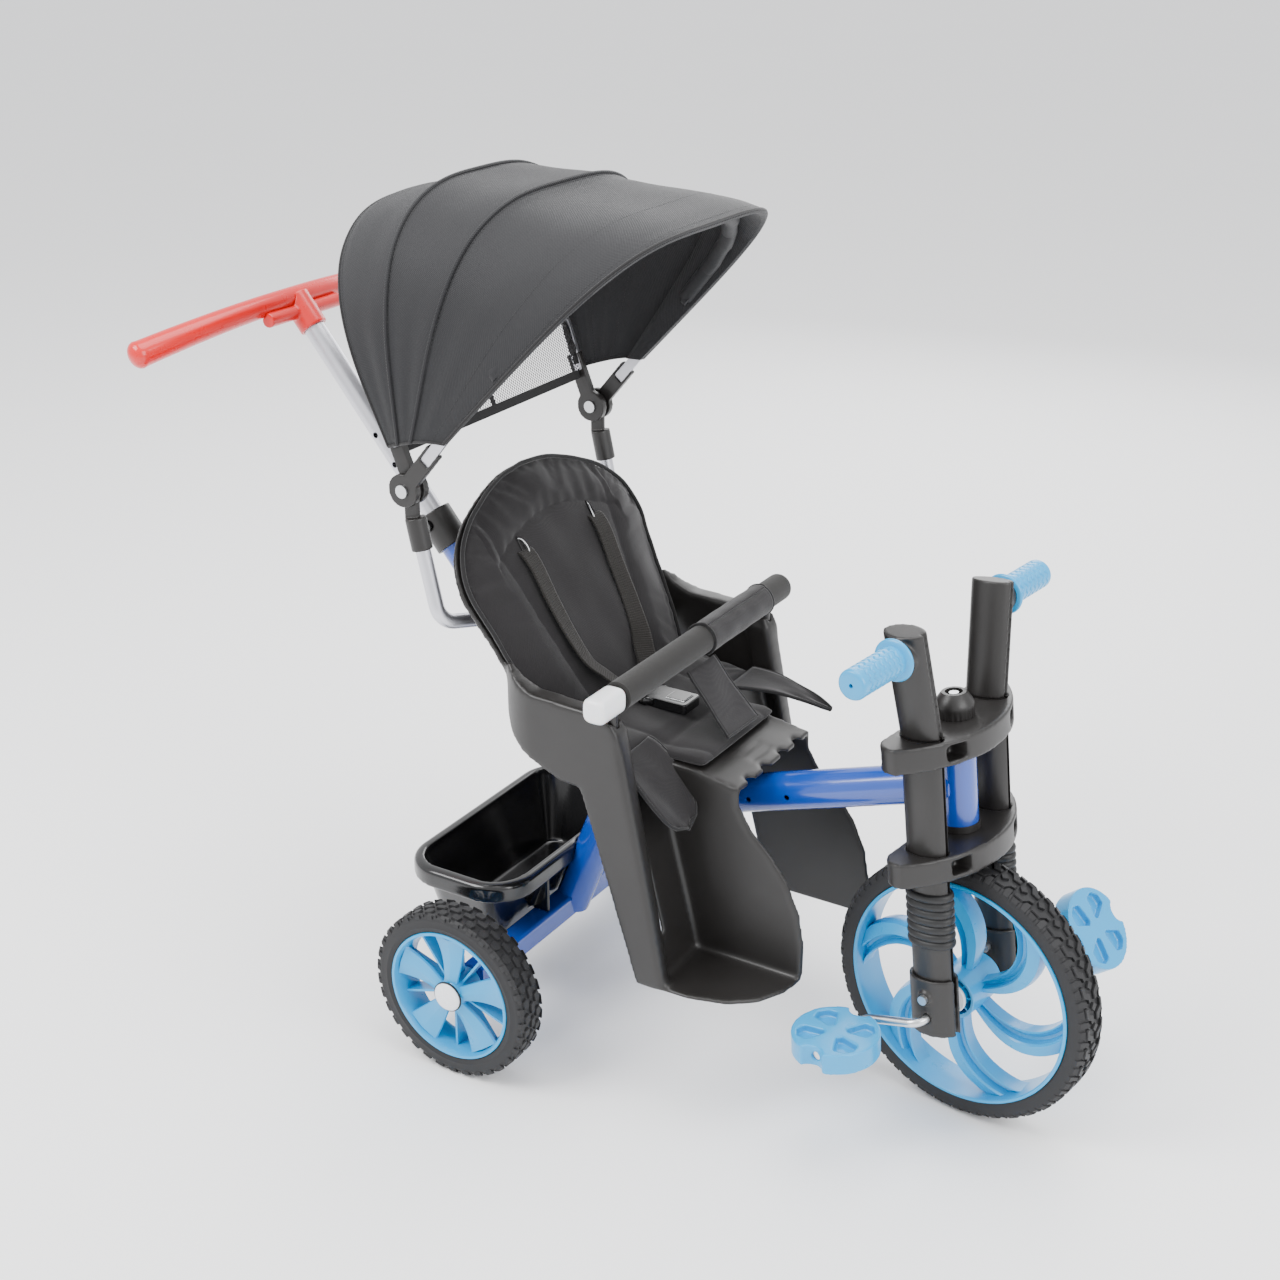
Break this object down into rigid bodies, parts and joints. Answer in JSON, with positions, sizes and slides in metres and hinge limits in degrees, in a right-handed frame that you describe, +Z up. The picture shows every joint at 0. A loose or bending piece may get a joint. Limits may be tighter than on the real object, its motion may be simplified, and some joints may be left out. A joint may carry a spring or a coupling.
{
  "type": "children's tricycle",
  "caption": "Children's tricycle with steered front wheel, bucket seat with leg wells, safety bar, folding hood, rear basket and telescopic push handle.",
  "frame": {"origin": "on the ground, at the bottom centre of the whole object's box", "axes": "+X forward in the direction of travel, +Y to the rider's left, +Z up"},
  "size_m": [1.0685, 0.503, 0.9467],
  "materials": {
    "black_plastic": "fine matt moulding",
    "cyan_plastic": "satin gloss",
    "blue_paint": "glossy powder coat",
    "red_plastic": "glossy",
    "silver_tube": "satin drawn tube",
    "zinc_steel": "bright zinc",
    "tyre_rubber": "matt rubber",
    "black_rubber": "soft matt",
    "foam": "closed-cell foam",
    "pad_fabric": "woven polyester",
    "hood_fabric": "coated woven polyester",
    "mesh_fabric": "open mesh",
    "webbing": "ribbed webbing",
    "white_plastic": "glossy",
    "black_gloss": "glossy"
  },
  "bodies": {
    "frame": {"main_frame": "blue_paint", "head_tube": "blue_paint", "head_bushes": "black_plastic", "rear_beam": "blue_paint", "rear_axle": "zinc_steel", "push_sleeve": "blue_paint", "tube_collar": "black_plastic", "seat_shell": "black_plastic", "seat_pad": "pad_fabric", "frame_fasteners": "zinc_steel", "shoulder_straps": "webbing", "harness_buckle": "black_gloss", "hood_support": "silver_tube", "support_clamps": "black_plastic", "hub_sockets": "black_plastic", "hub_pins": "zinc_steel", "basket": "black_gloss"},
    "collar_key": {"collar_button": "black_gloss"},
    "buckle_key": {"buckle_button": "black_gloss"},
    "push": {"push_tube": "silver_tube", "push_handle": "red_plastic", "handle_caps": "red_plastic", "handle_tee": "red_plastic"},
    "bar": {"safety_bar": "white_plastic", "bar_foam": "foam", "bar_ends": "white_plastic", "bar_sleeve": "pad_fabric", "crotch_strap": "pad_fabric"},
    "hood_rear": {"rear_discs": "black_plastic", "rear_bow": "silver_tube", "hood_rear_panel": "hood_fabric", "mesh_window": "mesh_fabric"},
    "hood_middle": {"hood_middle_panel": "hood_fabric"},
    "hood_front": {"front_discs": "black_plastic", "front_bow": "silver_tube", "hood_front_panel": "hood_fabric"},
    "fork": {"lower_plate": "black_plastic", "upper_plate": "black_plastic", "steering_knob": "black_plastic", "steering_stem": "zinc_steel", "bracket_screws": "zinc_steel", "grips": "cyan_plastic", "fork_bellows": "black_rubber", "axle_brackets": "black_plastic", "fork_leg_left": "black_plastic", "fork_leg_right": "black_plastic", "grip_post_left": "black_plastic", "grip_post_right": "black_plastic"},
    "front_wheel": {"front_tyre": "tyre_rubber", "front_rim": "cyan_plastic", "clutch_bushes": "white_plastic", "crank_rod": "zinc_steel"},
    "pedal_l": {"pedal_left": "cyan_plastic"},
    "pedal_r": {"pedal_right": "cyan_plastic"},
    "rear_wheel_l": {"rear_tyre_left": "tyre_rubber", "rear_rim_left": "cyan_plastic", "rear_cap_left": "white_plastic"},
    "rear_wheel_r": {"rear_tyre_right": "tyre_rubber", "rear_rim_right": "cyan_plastic", "rear_cap_right": "white_plastic"}
  },
  "joints": [
    {"name": "steering", "type": "hinge", "parent": "frame", "child": "fork", "pos_m": [0.35691, 0, 0.38354], "axis": [-0.1115, 0, 0.9938], "range_deg": [-9.9, 26.1]},
    {"name": "front_wheel_spin", "type": "hinge", "parent": "fork", "child": "front_wheel", "pos_m": [0.3831, 0, 0.15], "axis": [0.14, 0.99, 0.0157], "continuous": true},
    {"name": "left_pedal_spin", "type": "hinge", "parent": "front_wheel", "child": "pedal_l", "pos_m": [0.46908, 0.13507, 0.1717], "axis": [0.14, 0.99, 0.0157], "continuous": true},
    {"name": "right_pedal_spin", "type": "hinge", "parent": "front_wheel", "child": "pedal_r", "pos_m": [0.29713, -0.13507, 0.1283], "axis": [0.14, 0.99, 0.0157], "continuous": true},
    {"name": "left_wheel_spin", "type": "hinge", "parent": "frame", "child": "rear_wheel_l", "pos_m": [-0.11689, 0.226, 0.1], "axis": [0, 1, 0], "continuous": true},
    {"name": "right_wheel_spin", "type": "hinge", "parent": "frame", "child": "rear_wheel_r", "pos_m": [-0.11689, -0.226, 0.1], "axis": [0, 1, 0], "continuous": true},
    {"name": "push_height", "type": "slide", "parent": "frame", "child": "push", "axis": [-0.6347, 0, 0.7727], "range_m": [-0.16, 0]},
    {"name": "collar_press", "type": "slide", "parent": "frame", "child": "collar_key", "axis": [0, 1, 0], "range_m": [0, 0.0025], "stiffness_N_per_m": 600, "springref_m": -0.0005},
    {"name": "buckle_press", "type": "slide", "parent": "frame", "child": "buckle_key", "axis": [0, 0, -1], "range_m": [0, 0.0025], "stiffness_N_per_m": 600, "springref_m": -0.0005},
    {"name": "bar_lift", "type": "slide", "parent": "frame", "child": "bar", "axis": [0, 0, 1], "range_m": [0, 0.05]},
    {"name": "hood_tilt", "type": "hinge", "parent": "frame", "child": "hood_rear", "pos_m": [-0.1909, 0, 0.651], "axis": [0, 1, 0], "range_deg": [-20, 25]},
    {"name": "hood_fold", "type": "hinge", "parent": "hood_rear", "child": "hood_front", "pos_m": [-0.1909, 0, 0.651], "axis": [0, 1, 0], "range_deg": [-55, 0]},
    {"name": "hood_gather", "type": "hinge", "parent": "hood_rear", "child": "hood_middle", "pos_m": [-0.1909, 0, 0.651], "axis": [0, 1, 0], "range_deg": [-27.5, 0]}
  ],
  "couplings": [
    {"joint": "hood_gather", "follows": "hood_fold", "ratio": 0.5}
  ]
}
